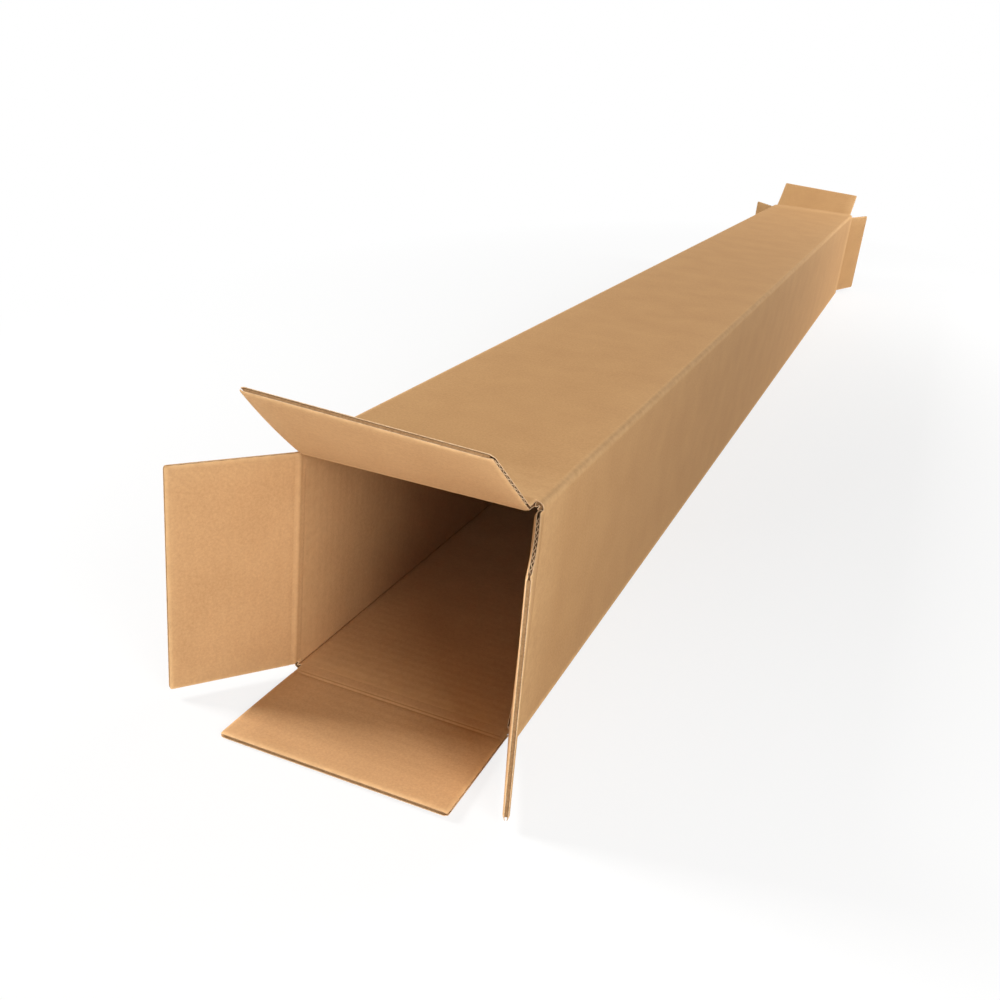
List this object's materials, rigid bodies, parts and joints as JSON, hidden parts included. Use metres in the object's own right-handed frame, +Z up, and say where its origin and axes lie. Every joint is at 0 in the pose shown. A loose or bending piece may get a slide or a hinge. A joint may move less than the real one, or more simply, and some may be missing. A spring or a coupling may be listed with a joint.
{
  "type": "corrugated shipping box",
  "caption": "Long square kraft box of corrugated board for rods and tubes, open at both ends, with scored end flaps that fold shut or back.",
  "frame": {"origin": "middle of the underside of the sleeve", "axes": "+Y along the box from the near end to the far end, +Z up out of the top panel, +X to the right seen from the near end"},
  "size_m": [0.2357, 1.9888, 0.2097],
  "materials": {
    "corrugated_board": "matte kraft",
    "kraft_paper": "matte kraft"
  },
  "bodies": {
    "sleeve": {"sleeve": "corrugated_board"},
    "front_top_flap": {"front_top_flap": "kraft_paper"},
    "front_bottom_flap": {"front_bottom_flap": "kraft_paper"},
    "front_left_flap": {"front_left_flap": "kraft_paper"},
    "front_right_flap": {"front_right_flap": "kraft_paper"},
    "rear_top_flap": {"rear_top_flap": "kraft_paper"},
    "rear_bottom_flap": {"rear_bottom_flap": "kraft_paper"},
    "rear_left_flap": {"rear_left_flap": "kraft_paper"},
    "rear_right_flap": {"rear_right_flap": "kraft_paper"}
  },
  "joints": [
    {"name": "front_top_hinge", "type": "hinge", "parent": "sleeve", "child": "front_top_flap", "pos_m": [0, -0.9144, 0.1607], "axis": [-1, 0, 0], "range_deg": [-128, 132]},
    {"name": "front_bottom_hinge", "type": "hinge", "parent": "sleeve", "child": "front_bottom_flap", "pos_m": [0, -0.9144, -0.0003], "axis": [1, 0, 0], "range_deg": [-89.2, 170.8]},
    {"name": "front_left_hinge", "type": "hinge", "parent": "sleeve", "child": "front_left_flap", "pos_m": [-0.0805, -0.9097, 0.0802], "axis": [0, 0, -1], "range_deg": [-127, 133]},
    {"name": "front_right_hinge", "type": "hinge", "parent": "sleeve", "child": "front_right_flap", "pos_m": [0.0805, -0.9097, 0.0802], "axis": [0, 0, 1], "range_deg": [-109.8, 150.2]},
    {"name": "rear_top_hinge", "type": "hinge", "parent": "sleeve", "child": "rear_top_flap", "pos_m": [0, 0.9144, 0.1607], "axis": [1, 0, 0], "range_deg": [-114.2, 145.8]},
    {"name": "rear_bottom_hinge", "type": "hinge", "parent": "sleeve", "child": "rear_bottom_flap", "pos_m": [0, 0.9144, -0.0003], "axis": [-1, 0, 0], "range_deg": [-90, 170]},
    {"name": "rear_left_hinge", "type": "hinge", "parent": "sleeve", "child": "rear_left_flap", "pos_m": [-0.0805, 0.9097, 0.0802], "axis": [0, 0, 1], "range_deg": [-125, 135]},
    {"name": "rear_right_hinge", "type": "hinge", "parent": "sleeve", "child": "rear_right_flap", "pos_m": [0.0805, 0.9097, 0.0802], "axis": [0, 0, -1], "range_deg": [-108, 152]}
  ]
}
